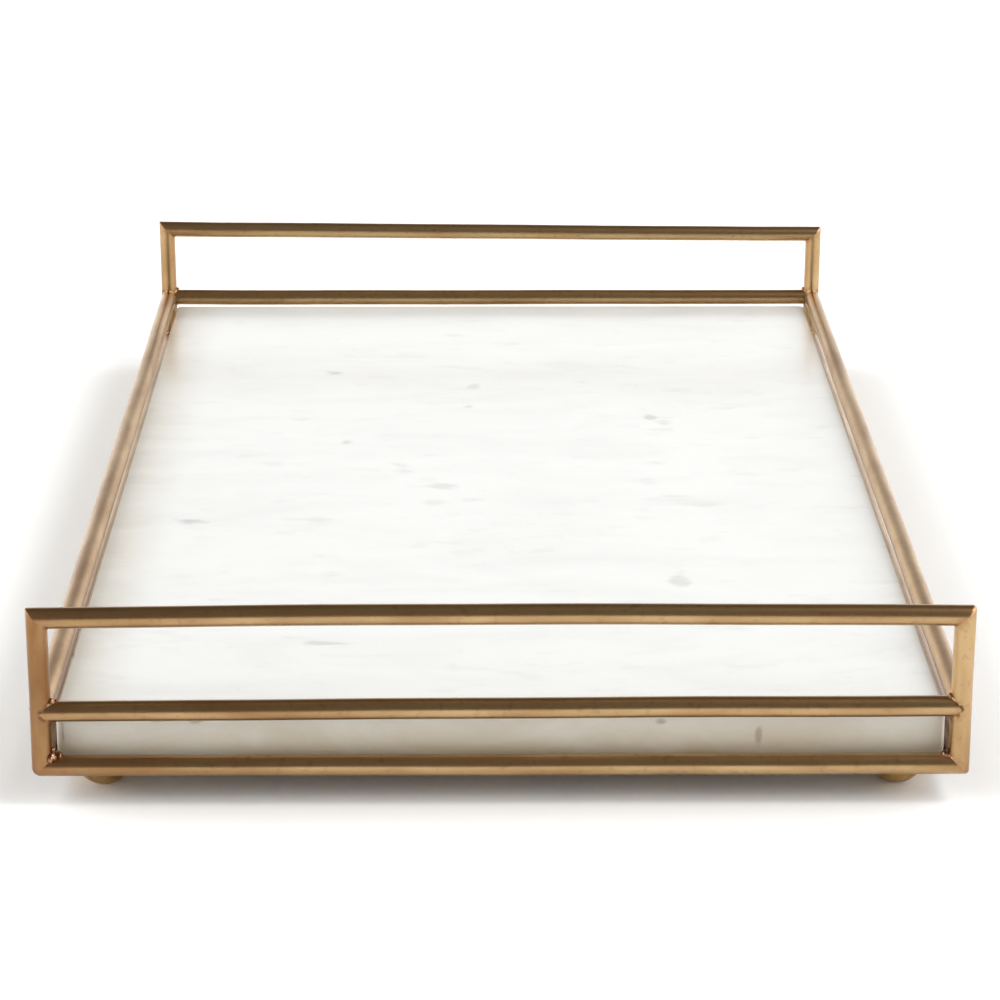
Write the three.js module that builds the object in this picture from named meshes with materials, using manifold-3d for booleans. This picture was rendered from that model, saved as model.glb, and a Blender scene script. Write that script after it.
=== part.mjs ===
// Dresser vanity tray: a loose marble slab in a welded frame of round rod, with a raised handle bar at
// each short end and four dome feet.
//
// Units are millimetres. X runs across the short ends, Y along the length and Z up. The origin is on the
// surface that the tray stands on, under the middle of the tray. Front is -Y, left is -X.

import * as THREE from 'three';
import { mergeVertices } from 'three/addons/utils/BufferGeometryUtils.js';
import Module from 'manifold-3d';

const wasm = await Module();
wasm.setup();

// Frame
const FRAME_WIDTH = 305;
const FRAME_LENGTH = 508;
const ROD_DIAMETER = 7;
const LOWER_TO_UPPER_RAIL = 20;
const UPPER_RAIL_TO_HANDLE = 32.6;
const WELD_GAP = 0.3;
const ROD_SIDES = 24;

// Feet
const FOOT_HEIGHT = 9.5;
const FOOT_RADIUS = 9.8;
const FOOT_FLAT_RADIUS = 3;
const FOOT_INSET = 21.5;
const FOOT_SIDES = 32;
const FOOT_DOME_STEPS = 10;

// Support straps and their screws
const STRAP_WIDTH = 25;
const STRAP_THICKNESS = 3;
const STRAP_END_GAP = 0.1;
const SCREW_HEAD_RADIUS = 3.8;
const SCREW_HEAD_HEIGHT = 1.8;
const SCREW_HEAD_RIM = 0.1;
const SCREW_RADIUS = 2;
const SCREW_LENGTH = 9;
const SCREW_CLEARANCE = 0.2;
const SCREW_HEAD_RECESS = 0.2;
const SCREW_SIDES = 24;
const HEX_SOCKET_RADIUS = 1.45;
const HEX_SOCKET_DEPTH = 1.3;
const BORE_END_CLEARANCE = 0.5;

// Slab and the pads under it
const PAD_RADIUS = 6;
const PAD_HEIGHT = 1.5;
const PAD_SIDES = 24;
const PAD_FROM_CENTRE = 92;
const SLAB_THICKNESS = 15.9;
const SLAB_SIDE_GAP = 0.3;
const SLAB_END_GAP = 1.55;
const SLAB_CORNER_RADIUS = 2.5;
const SLAB_ARRIS = 0.8;

// Places worked out from the driving dimensions
const ROD_RADIUS = ROD_DIAMETER / 2;
const POST_X = FRAME_WIDTH / 2 - ROD_RADIUS;
const POST_Y = FRAME_LENGTH / 2 - ROD_RADIUS;
const LOWER_RAIL_Z = FOOT_HEIGHT + ROD_RADIUS;
const UPPER_RAIL_Z = LOWER_RAIL_Z + LOWER_TO_UPPER_RAIL;
const HANDLE_Z = UPPER_RAIL_Z + UPPER_RAIL_TO_HANDLE;
const STRAP_TOP_Z = FOOT_HEIGHT + STRAP_THICKNESS;
const SCREW_TOP_Z = STRAP_TOP_Z - SCREW_HEAD_RECESS;
const PAD_TOP_Z = STRAP_TOP_Z + PAD_HEIGHT;
const FOOT_X = FRAME_WIDTH / 2 - FOOT_INSET;
const FOOT_Y = FRAME_LENGTH / 2 - FOOT_INSET;
const ENDS = [['front', -1], ['rear', 1]];
const SIDES = [['left', -1], ['right', 1]];

const BRASS = { color: 0xa88350, roughness: 0.34, metalness: 1 };
const STEEL = { color: 0x7d7568, roughness: 0.45, metalness: 1 };
const RUBBER = { color: 0x2b2a28, roughness: 0.9, metalness: 0 };
const MARBLE = { color: 0xf1f0ea, roughness: 0.3, metalness: 0 };

const tray = new THREE.Group();

function addPart(name, geometry, finish) {
  const mesh = new THREE.Mesh(geometry, new THREE.MeshStandardMaterial(finish));
  mesh.name = name;
  tray.add(mesh);
}

function toSolid(geometry) {
  const bare = geometry.clone();
  bare.deleteAttribute('normal');
  bare.deleteAttribute('uv');
  const merged = mergeVertices(bare, 1e-5);
  return new wasm.Manifold(new wasm.Mesh({
    numProp: 3,
    vertProperties: new Float32Array(merged.attributes.position.array),
    triVerts: new Uint32Array(merged.index.array),
  }));
}

function toGeometry(solid) {
  const mesh = solid.getMesh();
  const geometry = new THREE.BufferGeometry();
  geometry.setAttribute('position', new THREE.BufferAttribute(mesh.vertProperties, 3));
  geometry.setIndex(new THREE.BufferAttribute(mesh.triVerts, 1));
  return geometry;
}

function cut(geometry, ...cutters) {
  const solid = cutters.reduce((rest, cutter) => rest.subtract(toSolid(cutter)), toSolid(geometry));
  return toGeometry(solid);
}

// A rod of any radius along one axis, between two places on that axis.
function rod(axis, from, to, at, radius = ROD_RADIUS) {
  const geometry = new THREE.CylinderGeometry(radius, radius, to - from, ROD_SIDES);
  if (axis === 'x') {
    geometry.rotateZ(-Math.PI / 2);
  }
  if (axis === 'z') {
    geometry.rotateX(Math.PI / 2);
  }
  const middle = (from + to) / 2;
  geometry.translate(
    axis === 'x' ? middle : at.x,
    axis === 'y' ? middle : at.y,
    axis === 'z' ? middle : at.z,
  );
  return geometry;
}

// Slopes both ends of a rod to 45 degrees. outward gives how far a point of the rod stands off the
// rod's axis towards the outside of the corner, which is how much longer the rod is there.
function mitre(geometry, axis, middle, outward) {
  const position = geometry.attributes.position;
  const point = new THREE.Vector3();
  for (let i = 0; i < position.count; i += 1) {
    point.fromBufferAttribute(position, i);
    point[axis] += point[axis] > middle ? outward(point) : -outward(point);
    position.setXYZ(i, point.x, point.y, point.z);
  }
  return geometry;
}

// A long rod, thicker by the weld gap, that copes the end of a rod which meets it.
function coper(axis, at) {
  return rod(axis, -FRAME_LENGTH, FRAME_LENGTH, at, ROD_RADIUS + WELD_GAP);
}

// End loops: handle bar, two posts and lower rail, mitred into a rectangle, with the upper rail
// coped in between the posts.
function addEndLoop(end, ySign) {
  const y = ySign * POST_Y;
  const halfSpan = POST_X - WELD_GAP / 2;

  const handle = rod('x', -halfSpan, halfSpan, { y, z: HANDLE_Z });
  addPart(`handle_bar_${end}`, mitre(handle, 'x', 0, (point) => point.z - HANDLE_Z), BRASS);

  const lowerRail = rod('x', -halfSpan, halfSpan, { y, z: LOWER_RAIL_Z });
  addPart(`lower_end_rail_${end}`, mitre(lowerRail, 'x', 0, (point) => LOWER_RAIL_Z - point.z), BRASS);

  for (const [side, xSign] of SIDES) {
    const x = xSign * POST_X;
    const outward = (point) => xSign * (point.x - x);
    const post = rod('z', LOWER_RAIL_Z + WELD_GAP / 2, HANDLE_Z - WELD_GAP / 2, { x, y });
    addPart(`post_${end}_${side}`, mitre(post, 'z', UPPER_RAIL_Z, outward), BRASS);
  }

  const upperRail = cut(
    rod('x', -POST_X, POST_X, { y, z: UPPER_RAIL_Z }),
    coper('z', { x: -POST_X, y }),
    coper('z', { x: POST_X, y }),
  );
  addPart(`upper_end_rail_${end}`, upperRail, BRASS);
}

// Side rails: rods that join the two end loops, coped to the posts and to the end rails.
function addSideRail(level, side, x, z) {
  const rail = cut(
    rod('y', -POST_Y, POST_Y, { x, z }),
    coper('z', { x, y: -POST_Y }),
    coper('z', { x, y: POST_Y }),
    coper('x', { y: -POST_Y, z }),
    coper('x', { y: POST_Y, z }),
  );
  addPart(`${level}_side_rail_${side}`, rail, BRASS);
}

// A countersunk shape about a foot's axis, for the screw and, with clearance, for the hole it goes in.
// The hole runs a little deeper than the screw and out through the strap's upper face.
function countersunk(x, y, clearance, extraDepth, extraTop) {
  const tip = -SCREW_LENGTH - extraDepth;
  const geometry = new THREE.LatheGeometry([
    new THREE.Vector2(0, tip),
    new THREE.Vector2(SCREW_RADIUS + clearance, tip),
    new THREE.Vector2(SCREW_RADIUS + clearance, -SCREW_HEAD_HEIGHT),
    new THREE.Vector2(SCREW_HEAD_RADIUS + clearance, 0),
    new THREE.Vector2(SCREW_HEAD_RADIUS + clearance, extraTop),
    new THREE.Vector2(0, extraTop),
  ], SCREW_SIDES);
  geometry.rotateX(Math.PI / 2);
  geometry.translate(x, y, SCREW_TOP_Z);
  return geometry;
}

function screwHole(x, y) {
  return countersunk(x, y, SCREW_CLEARANCE, BORE_END_CLEARANCE, 2 * SCREW_HEAD_RECESS);
}

// Screw: countersunk, with a hex socket, its head a little below the strap's upper face.
function addScrew(name, x, y) {
  const socket = new THREE.CylinderGeometry(HEX_SOCKET_RADIUS, HEX_SOCKET_RADIUS, 2 * HEX_SOCKET_DEPTH, 6);
  socket.rotateX(Math.PI / 2);
  socket.translate(x, y, SCREW_TOP_Z);
  addPart(name, cut(countersunk(x, y, 0, 0, SCREW_HEAD_RIM), socket), STEEL);
}

// Foot: a dome with a small flat to stand on and a short straight collar under the strap.
function addFoot(name, x, y) {
  const centreZ = Math.sqrt(FOOT_RADIUS ** 2 - FOOT_FLAT_RADIUS ** 2);
  const flatAngle = Math.asin(FOOT_FLAT_RADIUS / FOOT_RADIUS);
  const profile = [new THREE.Vector2(0, 0), new THREE.Vector2(FOOT_FLAT_RADIUS, 0)];
  for (let i = 1; i <= FOOT_DOME_STEPS; i += 1) {
    const angle = THREE.MathUtils.lerp(flatAngle, Math.PI / 2, i / FOOT_DOME_STEPS);
    profile.push(new THREE.Vector2(FOOT_RADIUS * Math.sin(angle), centreZ - FOOT_RADIUS * Math.cos(angle)));
  }
  profile.push(new THREE.Vector2(FOOT_RADIUS, FOOT_HEIGHT));
  profile.push(new THREE.Vector2(0, FOOT_HEIGHT));
  const dome = new THREE.LatheGeometry(profile, FOOT_SIDES);
  dome.rotateX(Math.PI / 2);
  dome.translate(x, y, 0);
  addPart(name, cut(dome, screwHole(x, y)), BRASS);
}

// Strap: flat bar welded across between the lower side rails, its underside level with theirs.
function addStrap(name, y, screwPlaces) {
  const length = 2 * (POST_X - ROD_RADIUS - STRAP_END_GAP);
  const bar = new THREE.BoxGeometry(length, STRAP_WIDTH, STRAP_THICKNESS);
  bar.translate(0, y, FOOT_HEIGHT + STRAP_THICKNESS / 2);
  const holes = screwPlaces.map((x) => screwHole(x, y));
  addPart(name, cut(bar, ...holes), BRASS);
}

function addPad(name, x, y) {
  const disc = new THREE.CylinderGeometry(PAD_RADIUS, PAD_RADIUS, PAD_HEIGHT, PAD_SIDES);
  disc.rotateX(Math.PI / 2);
  disc.translate(x, y, STRAP_TOP_Z + PAD_HEIGHT / 2);
  addPart(name, disc, RUBBER);
}

// Slab: sawn plate with small rounded corners and eased arrises, loose on the pads.
function addSlab() {
  const halfX = POST_X - ROD_RADIUS - SLAB_SIDE_GAP - SLAB_ARRIS;
  const halfY = POST_Y - ROD_RADIUS - SLAB_END_GAP - SLAB_ARRIS;
  const radius = SLAB_CORNER_RADIUS - SLAB_ARRIS;
  const outline = new THREE.Shape();
  outline.absarc(halfX - radius, halfY - radius, radius, 0, Math.PI / 2);
  outline.absarc(-halfX + radius, halfY - radius, radius, Math.PI / 2, Math.PI);
  outline.absarc(-halfX + radius, -halfY + radius, radius, Math.PI, 1.5 * Math.PI);
  outline.absarc(halfX - radius, -halfY + radius, radius, 1.5 * Math.PI, 2 * Math.PI);
  const plate = new THREE.ExtrudeGeometry(outline, {
    depth: SLAB_THICKNESS - 2 * SLAB_ARRIS,
    bevelThickness: SLAB_ARRIS,
    bevelSize: SLAB_ARRIS,
    bevelSegments: 3,
    curveSegments: 5,
  });
  plate.translate(0, 0, PAD_TOP_Z + SLAB_ARRIS);
  addPart('marble_slab', plate, MARBLE);
}

for (const [end, ySign] of ENDS) {
  addEndLoop(end, ySign);
}
for (const [side, xSign] of SIDES) {
  addSideRail('upper', side, xSign * POST_X, UPPER_RAIL_Z);
  addSideRail('lower', side, xSign * POST_X, LOWER_RAIL_Z);
}
for (const [end, ySign] of ENDS) {
  addStrap(`support_strap_${end}`, ySign * FOOT_Y, [-FOOT_X, FOOT_X]);
  for (const [side, xSign] of SIDES) {
    addFoot(`foot_${end}_${side}`, xSign * FOOT_X, ySign * FOOT_Y);
    addScrew(`foot_screw_${end}_${side}`, xSign * FOOT_X, ySign * FOOT_Y);
    addPad(`slab_pad_${end}_${side}`, xSign * PAD_FROM_CENTRE, ySign * FOOT_Y);
  }
}
addStrap('support_strap_middle', 0, []);
for (const [side, xSign] of SIDES) {
  addPad(`slab_pad_middle_${side}`, xSign * PAD_FROM_CENTRE, 0);
}
addSlab();

export default tray;
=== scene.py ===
import math

import bpy
import numpy as np
from mathutils import Matrix, Vector, kdtree, noise


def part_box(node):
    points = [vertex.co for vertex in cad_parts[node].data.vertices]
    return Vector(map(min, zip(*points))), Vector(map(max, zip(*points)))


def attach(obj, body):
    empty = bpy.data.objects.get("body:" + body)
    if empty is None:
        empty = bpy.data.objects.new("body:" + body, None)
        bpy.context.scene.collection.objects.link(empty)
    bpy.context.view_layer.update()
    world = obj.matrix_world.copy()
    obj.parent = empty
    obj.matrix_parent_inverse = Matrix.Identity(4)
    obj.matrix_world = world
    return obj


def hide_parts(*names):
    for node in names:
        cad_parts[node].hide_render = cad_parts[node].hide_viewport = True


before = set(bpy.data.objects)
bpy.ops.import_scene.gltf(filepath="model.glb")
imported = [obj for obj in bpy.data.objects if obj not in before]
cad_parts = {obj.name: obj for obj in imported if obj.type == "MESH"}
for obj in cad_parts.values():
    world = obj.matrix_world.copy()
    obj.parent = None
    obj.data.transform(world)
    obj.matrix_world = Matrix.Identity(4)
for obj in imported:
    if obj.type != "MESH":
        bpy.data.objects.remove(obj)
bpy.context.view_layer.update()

# ---------------------------------------------------------------------------------------------
# End loops. Each short end of the tray is a closed loop of 7 mm brass rod: a lower rail, two
# posts and a handle bar, sawn at 45 degrees, brazed at the four corners and filed by hand, so the
# outer corners are a little round and the handles dip by up to two and a half millimetres.

MM = 0.001
FRONT, REAR = -1, 1
LEFT, RIGHT = -1, 1
post_low, post_high = (1000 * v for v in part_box("post_front_left"))
rail_low, rail_high = (1000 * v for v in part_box("upper_end_rail_front"))
ROD_RADIUS = (post_high.x - post_low.x) / 2
POST_X = -(post_low.x + post_high.x) / 2
POST_Y = -(post_low.y + post_high.y) / 2
LOWER_Z = post_low.z + ROD_RADIUS
MIDDLE_Z = (rail_low.z + rail_high.z) / 2
HANDLE_Z = post_high.z - ROD_RADIUS
FILED_RADIUS = ROD_RADIUS - 0.04
ROD_SIDES = 48
X_AXIS, Y_AXIS, Z_AXIS = np.eye(3)
seam_points, coped_points = [], []
# rings of points stand this far from a joint, and the slant of the cut has died away at JOINT_RUN
NEAR_JOINT = [-0.3, 0.0, 0.12, 0.25, 0.4, 0.55, 0.7, 0.9, 1.1, 1.3, 1.55, 1.8, 2.1]
NEAR_JOINT += list(np.arange(2.45, 10.0, 0.38))
JOINT_RUN = 9.5
# beyond SETTLE_RUN from its joints a rod swells and thins by SWELL and bows inward by about BOW
SWELL, BOW, SETTLE_RUN = 0.01, 0.09, 30
# how far each handle bar and upper end rail is off level at its left end, middle and right end
HANDLE_STRAY = {FRONT: (-1.2, 0, -0.8), REAR: (0, -1.3, -2.55)}
RAIL_STRAY = {FRONT: (-1.0, 0, 0.5), REAR: (0, 0, 0)}


def wave(phase, distance, *lengths):
    """A slow wander made of sines, each with a wavelength in millimetres, between about -1 and 1."""
    total = sum(np.sin(2 * math.pi * distance / w + phase * (3.1 + i)) for i, w in enumerate(lengths))
    return total / len(lengths)


def rod_mesh(start, end, start_joint, end_joint, phase):
    """A round rod from start to end, both on joint centres. A joint is ("mitre", direction of the
    other rod, outer filing radius, inner fillet) or ("cope", axis of the rod it meets, fillet)."""
    start, end = np.array(start, float), np.array(end, float)
    span = np.linalg.norm(end - start)
    along = (end - start) / span
    first = X_AXIS if abs(along[0]) < 0.5 else Y_AXIS
    second = np.cross(along, first)
    angle = 2 * math.pi * np.arange(ROD_SIDES) / ROD_SIDES
    outward = np.cos(angle)[:, None] * first + np.sin(angle)[:, None] * second

    def joint_shift(joint, inward):
        """How far the end ring stands off the joint centre at each side of the rod."""
        if joint[0] == "mitre":
            return FILED_RADIUS * outward @ joint[1], 0.0
        sideways = np.cross(inward, joint[1])
        depth = np.sqrt(np.maximum(FILED_RADIUS ** 2 - (FILED_RADIUS * outward @ sideways) ** 2, 0))
        return depth, FILED_RADIUS

    def ends_of(joint, inward):
        """The rings near one end, the first on the cut and the last square to the rod."""
        shift, level = joint_shift(joint, inward)
        rows = []
        for d in NEAR_JOINT:
            if joint[0] == "mitre" and d < 0:
                continue
            fade = max(0.0, 1 - d / JOINT_RUN)
            rows.append(level + d + (shift - level) * fade)
        return rows

    head = ends_of(start_joint, along)
    tail = ends_of(end_joint, -along)
    first_plain, last_plain = head[-1].mean() + 0.4, span - tail[-1].mean() - 0.4
    steps = max(2, int(round((last_plain - first_plain) / 2.6)))
    middle = [np.full(ROD_SIDES, d) for d in np.linspace(first_plain, last_plain, steps + 1)]
    rows = np.array(head + middle + [span - row for row in reversed(tail)])
    count = len(rows)
    centre_line = rows.mean(1)
    settled = np.clip(np.minimum(centre_line, span - centre_line) / SETTLE_RUN, 0, 1)
    settled = settled * settled * (3 - 2 * settled)
    radius = FILED_RADIUS + SWELL * settled * wave(phase, centre_line, 41, 67, 23)
    points = start + rows[..., None] * along + radius[:, None, None] * outward
    for axis, lengths in ((first, (310, 120)), (second, (260, 95))):
        bow = -BOW * np.sign(axis @ (start + end)) * settled * (1 + wave(phase, centre_line, *lengths))
        points += bow[:, None, None] * axis
    for joint, corner, inward, part in (
        (start_joint, start, along, slice(0, len(head))),
        (end_joint, end, -along, slice(count - len(tail), count)),
    ):
        block = points[part].reshape(-1, 3)
        if joint[0] == "mitre":
            block = dress_corner(block, corner, inward, joint[1], joint[2], joint[3])
        else:
            block = flare_cope(block, corner, inward, joint[1], joint[2])
        points[part] = block.reshape(-1, ROD_SIDES, 3)
    return points


def dress_corner(points, corner, along, across, outer, inner):
    """Rounds a mitred corner: the outside as the file left it, the inside with its braze fillet."""
    q = points - corner
    x, y = q @ along, q @ across
    z = q @ np.cross(along, across)
    half = np.sqrt(np.maximum(FILED_RADIUS ** 2 - z ** 2, 0))
    r = outer * (half / FILED_RADIUS)
    cx, cy = x + half - r, y + half - r
    reach = np.maximum(np.hypot(cx, cy), 1e-9)
    filed = (cx < 0) & (cy < 0) & (reach > r)
    pull = np.where(filed, r / reach - 1, 0)
    moved = (cx * pull)[:, None] * along + (cy * pull)[:, None] * across
    f = inner * (half / FILED_RADIUS) ** 2
    cx, cy = x - half - f, y - half - f
    reach = np.maximum(np.hypot(cx, cy), 1e-9)
    inside = (cx < 0) & (cy < 0) & (x > half - 1e-4) & (y > half - 1e-4) & (reach > f)
    pull = np.where(inside, f / reach - 1, 0)
    moved += (cx * pull)[:, None] * along + (cy * pull)[:, None] * across
    return points + moved


def flare_cope(points, corner, inward, run_axis, fillet):
    """Spreads the end of a coped rod into a braze fillet along the rod that it meets."""
    q = points - corner
    reach, offset = q @ inward, q @ run_axis
    sideways = q @ np.cross(inward, run_axis)
    depth = np.sqrt(np.maximum(FILED_RADIUS ** 2 - sideways ** 2, 0))
    gap = reach - depth
    size = fillet * (offset / FILED_RADIUS) ** 2 + 1e-6
    turn = np.clip(gap / size, 0, 1) * math.pi / 2
    spread = np.where(gap < size, size * (1 - np.sin(turn)), 0)
    back = np.where((gap > 0) & (gap < size), size * (1 - np.cos(turn)) - gap, 0)
    return points + back[:, None] * inward + (spread * np.sign(offset))[:, None] * run_axis


def tube_object(name, points):
    """A closed tube from rings of points in millimetres, with sharp edges round its two ends."""
    rings, sides, _ = points.shape
    vertices = np.vstack([points.reshape(-1, 3), points[0].mean(0), points[-1].mean(0)]) * MM
    i, j = np.meshgrid(np.arange(rings - 1), np.arange(sides), indexing="ij")
    k = (j + 1) % sides
    quads = np.stack([i * sides + j, i * sides + k, (i + 1) * sides + k, (i + 1) * sides + j], -1)
    faces = [tuple(map(int, q)) for q in quads.reshape(-1, 4)]
    last = (rings - 1) * sides
    for n in range(sides):
        m = (n + 1) % sides
        faces.append((rings * sides, m, n))
        faces.append((rings * sides + 1, last + n, last + m))
    mesh = bpy.data.meshes.new(name)
    mesh.from_pydata([tuple(map(float, v)) for v in vertices], [], faces)
    mesh.polygons.foreach_set("use_smooth", [len(f) == 4 for f in faces])
    for edge in mesh.edges:
        a, b = edge.vertices
        if (a < sides and b < sides) or (last <= a < rings * sides and last <= b < rings * sides):
            edge.use_edge_sharp = True
    mesh.update()
    piece = bpy.data.objects.new(name, mesh)
    bpy.context.scene.collection.objects.link(piece)
    return piece


def through(left, middle, right, t):
    """A smooth curve with these three values at t = -1, 0 and 1."""
    return middle + (right - left) / 2 * t + ((right + left) / 2 - middle) * t * t


def settle_end(points, end):
    """Lets the handle bar and the upper end rail of one loop wander from level, as hand work does."""
    t = np.clip(points[..., 0] / POST_X, -1.1, 1.1)
    z = points[..., 2]
    up = np.clip((z - MIDDLE_Z) / (HANDLE_Z - MIDDLE_Z), 0, 1)
    low = np.clip((z - LOWER_Z) / (MIDDLE_Z - LOWER_Z), 0, 1)
    handle, rail = through(*HANDLE_STRAY[end], t), through(*RAIL_STRAY[end], t)
    points[..., 2] += np.where(z > MIDDLE_Z, up * handle + (1 - up) * rail, low * rail)
    return points


def srgb(code):
    """An sRGB hex colour as linear RGBA."""
    parts = [int(code[i:i + 2], 16) / 255 for i in (1, 3, 5)]
    return (*[c / 12.92 if c <= 0.04045 else ((c + 0.055) / 1.055) ** 2.4 for c in parts], 1.0)


def add(tree, kind, inputs=None, **settings):
    """One node: settings are its properties, inputs its sockets, each a value or another node's output."""
    node = tree.nodes.new(kind)
    for key, value in settings.items():
        setattr(node, key, value)
    for key, value in (inputs or {}).items():
        if isinstance(value, bpy.types.NodeSocket):
            tree.links.new(value, node.inputs[key])
        else:
            node.inputs[key].default_value = value
    return node


# Map Range takes its value range in sockets 1 and 2 and gives the range in sockets 3 and 4


def calc(tree, operation, *values):
    return add(tree, "ShaderNodeMath", dict(enumerate(values)), operation=operation).outputs[0]


def over(tree, amount, below, above):
    """The colour above laid over the one below by an amount. below is a hex colour or a node's output."""
    below = srgb(below) if isinstance(below, str) else below
    return add(tree, "ShaderNodeMix", {0: amount, 6: below, 7: srgb(above)}, data_type="RGBA").outputs[2]


def new_material(name):
    material = bpy.data.materials.new(name)
    material.use_nodes = True
    material.node_tree.nodes.clear()
    return material, material.node_tree


def antique_brass(name, rub):
    """Antique brass rod, rubbed along its length and lacquered. rub stretches the marks along the rod.
    A satin metal: gold where it is rubbed, reddish brown in patches some centimetres long, with fine
    lines from the abrasive, a few pinprick dents, and copper and dark flux where the torch was. On some
    rods the colour also carries painted shade, in dark brown, or painted light, in gold."""
    material, tree = new_material(name)
    place = add(tree, "ShaderNodeTexCoord").outputs["Object"]
    stretched = add(tree, "ShaderNodeMapping", {"Vector": place, "Scale": rub}).outputs[0]
    # tone patches about 35 mm long, freckles about 2 mm, rub lines 0.5 mm apart, drawn coarse to show
    patches = add(tree, "ShaderNodeTexNoise", {"Vector": stretched, "Scale": 110.0, "Detail": 4.0}).outputs[0]
    freckles = add(tree, "ShaderNodeTexNoise", {"Vector": place, "Scale": 420.0, "Detail": 4.0}).outputs[0]
    lines = add(tree, "ShaderNodeTexNoise", {"Vector": stretched, "Scale": 2100.0, "Detail": 2.0}).outputs[0]
    # this attribute is how far the rod took the brown bath, rubbed back below 1, with painted shade and
    # painted light added on the front posts and the lower long rods: above 1 it darkens to dark brown as
    # painted shade
    tarnish = add(tree, "ShaderNodeAttribute", attribute_name="tarnish").outputs["Fac"]
    tone = add(tree, "ShaderNodeMapRange", {"Value": patches, 1: 0.33, 2: 0.66, 3: 0.3, 4: -0.3}).outputs[0]
    tone = add(tree, "ShaderNodeMath", {0: tone, 1: tarnish}, operation="ADD", use_clamp=True).outputs[0]
    body = over(tree, tone, "#c0a176", "#8f6843")
    # above 1 the rod darkens towards dark brown, fully at 2: painted shade
    bath_and_painted_shade = add(tree, "ShaderNodeMapRange", {"Value": tarnish, 1: 1.0, 2: 2.0}).outputs[0]
    body = over(tree, bath_and_painted_shade, body, "#4f3826")
    brown = add(tree, "ShaderNodeMapRange", {"Value": freckles, 1: 0.56, 2: 0.74, 4: 0.35}).outputs[0]
    body = over(tree, brown, body, "#87603f")
    # seam holds the distance from the nearest brazed seam, in millimetres, and coped marks the butt joints
    seam = add(tree, "ShaderNodeAttribute", attribute_name="seam").outputs["Fac"]
    coped = add(tree, "ShaderNodeAttribute", attribute_name="coped").outputs["Fac"]
    uneven = add(tree, "ShaderNodeTexNoise", {"Vector": place, "Scale": 700.0, "Detail": 3.0}).outputs[0]
    spread = calc(tree, "SUBTRACT", uneven, 0.5)
    ragged = calc(tree, "MULTIPLY_ADD", spread, 7.0, seam)
    heat = add(tree, "ShaderNodeMapRange", {"Value": ragged, 1: 0.2, 2: 2.4, 3: 0.4, 4: 0.0}).outputs[0]
    body = over(tree, heat, body, "#9a6d4c")
    fine = calc(tree, "MULTIPLY_ADD", spread, 2.6, coped)
    flux = add(tree, "ShaderNodeMapRange", {"Value": fine, 1: 0.0, 2: 0.9, 3: 0.85, 4: 0.0}).outputs[0]
    body = over(tree, flux, body, "#54392a")
    gloss = add(tree, "ShaderNodeMapRange", {"Value": patches, 1: 0.3, 2: 0.7, 3: 0.34, 4: 0.28}).outputs[0]
    gloss = calc(tree, "MULTIPLY_ADD", heat, 0.12, gloss)
    dents = add(tree, "ShaderNodeTexVoronoi", {"Vector": place, "Scale": 95.0}).outputs["Distance"]
    dents = add(tree, "ShaderNodeMapRange", {"Value": dents, 1: 0.03, 2: 0.09}).outputs[0]
    relief = calc(tree, "MULTIPLY_ADD", lines, 0.25, dents)
    relief = calc(tree, "MULTIPLY_ADD", freckles, 0.3, relief)
    bump = add(tree, "ShaderNodeBump", {"Height": relief, "Strength": 0.15, "Distance": 0.00003})
    surface = add(tree, "ShaderNodeBsdfPrincipled", {
        "Base Color": body, "Metallic": 1.0, "Roughness": gloss, "Normal": bump.outputs[0],
    })
    add(tree, "ShaderNodeOutputMaterial", {"Surface": surface.outputs[0]})
    return material


BRASS_ALONG_X = antique_brass("antique_brass_rubbed_crosswise", (0.25, 1.0, 1.0))
BRASS_ALONG_Y = antique_brass("antique_brass_rubbed_lengthwise", (1.0, 0.25, 1.0))
BRASS_UPRIGHT = antique_brass("antique_brass_rubbed_upright", (1.0, 1.0, 0.25))
rods = []


def add_rod(name, points, material, cad_node, tarnish, coped=False):
    """The piece that stands for one CAD rod. The fifth argument is how brown it is at its start, middle and
    end, painted shade and painted light included.
    """
    seam_points.extend([points[0], points[-1]])
    if coped:
        coped_points.extend([points[0], points[-1]])
    piece = tube_object(name, points)
    piece.data.materials.append(material)
    places = np.array([vertex.co for vertex in piece.data.vertices])
    far, near = places.max(0), places.min(0)
    axis = int(np.argmax(far - near))
    t = (2 * places[:, axis] - far[axis] - near[axis]) / (far[axis] - near[axis])
    brown_and_shade = through(*tarnish, t)
    piece.data.attributes.new("tarnish", "FLOAT", "POINT").data.foreach_set("value", brown_and_shade)
    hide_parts(cad_node)
    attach(piece, "frame")
    rods.append(piece)


# how round each corner was filed, and how big its inner fillet is, in millimetres
CORNERS = {
    (FRONT, LEFT, "low"): (2.9, 0.9), (FRONT, RIGHT, "low"): (1.5, 0.7),
    (FRONT, LEFT, "top"): (0.35, 0.9), (FRONT, RIGHT, "top"): (1.3, 0.8),
    (REAR, LEFT, "low"): (1.5, 0.8), (REAR, RIGHT, "low"): (1.8, 0.8),
    (REAR, LEFT, "top"): (0.3, 0.7), (REAR, RIGHT, "top"): (0.9, 0.9),
}
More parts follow.
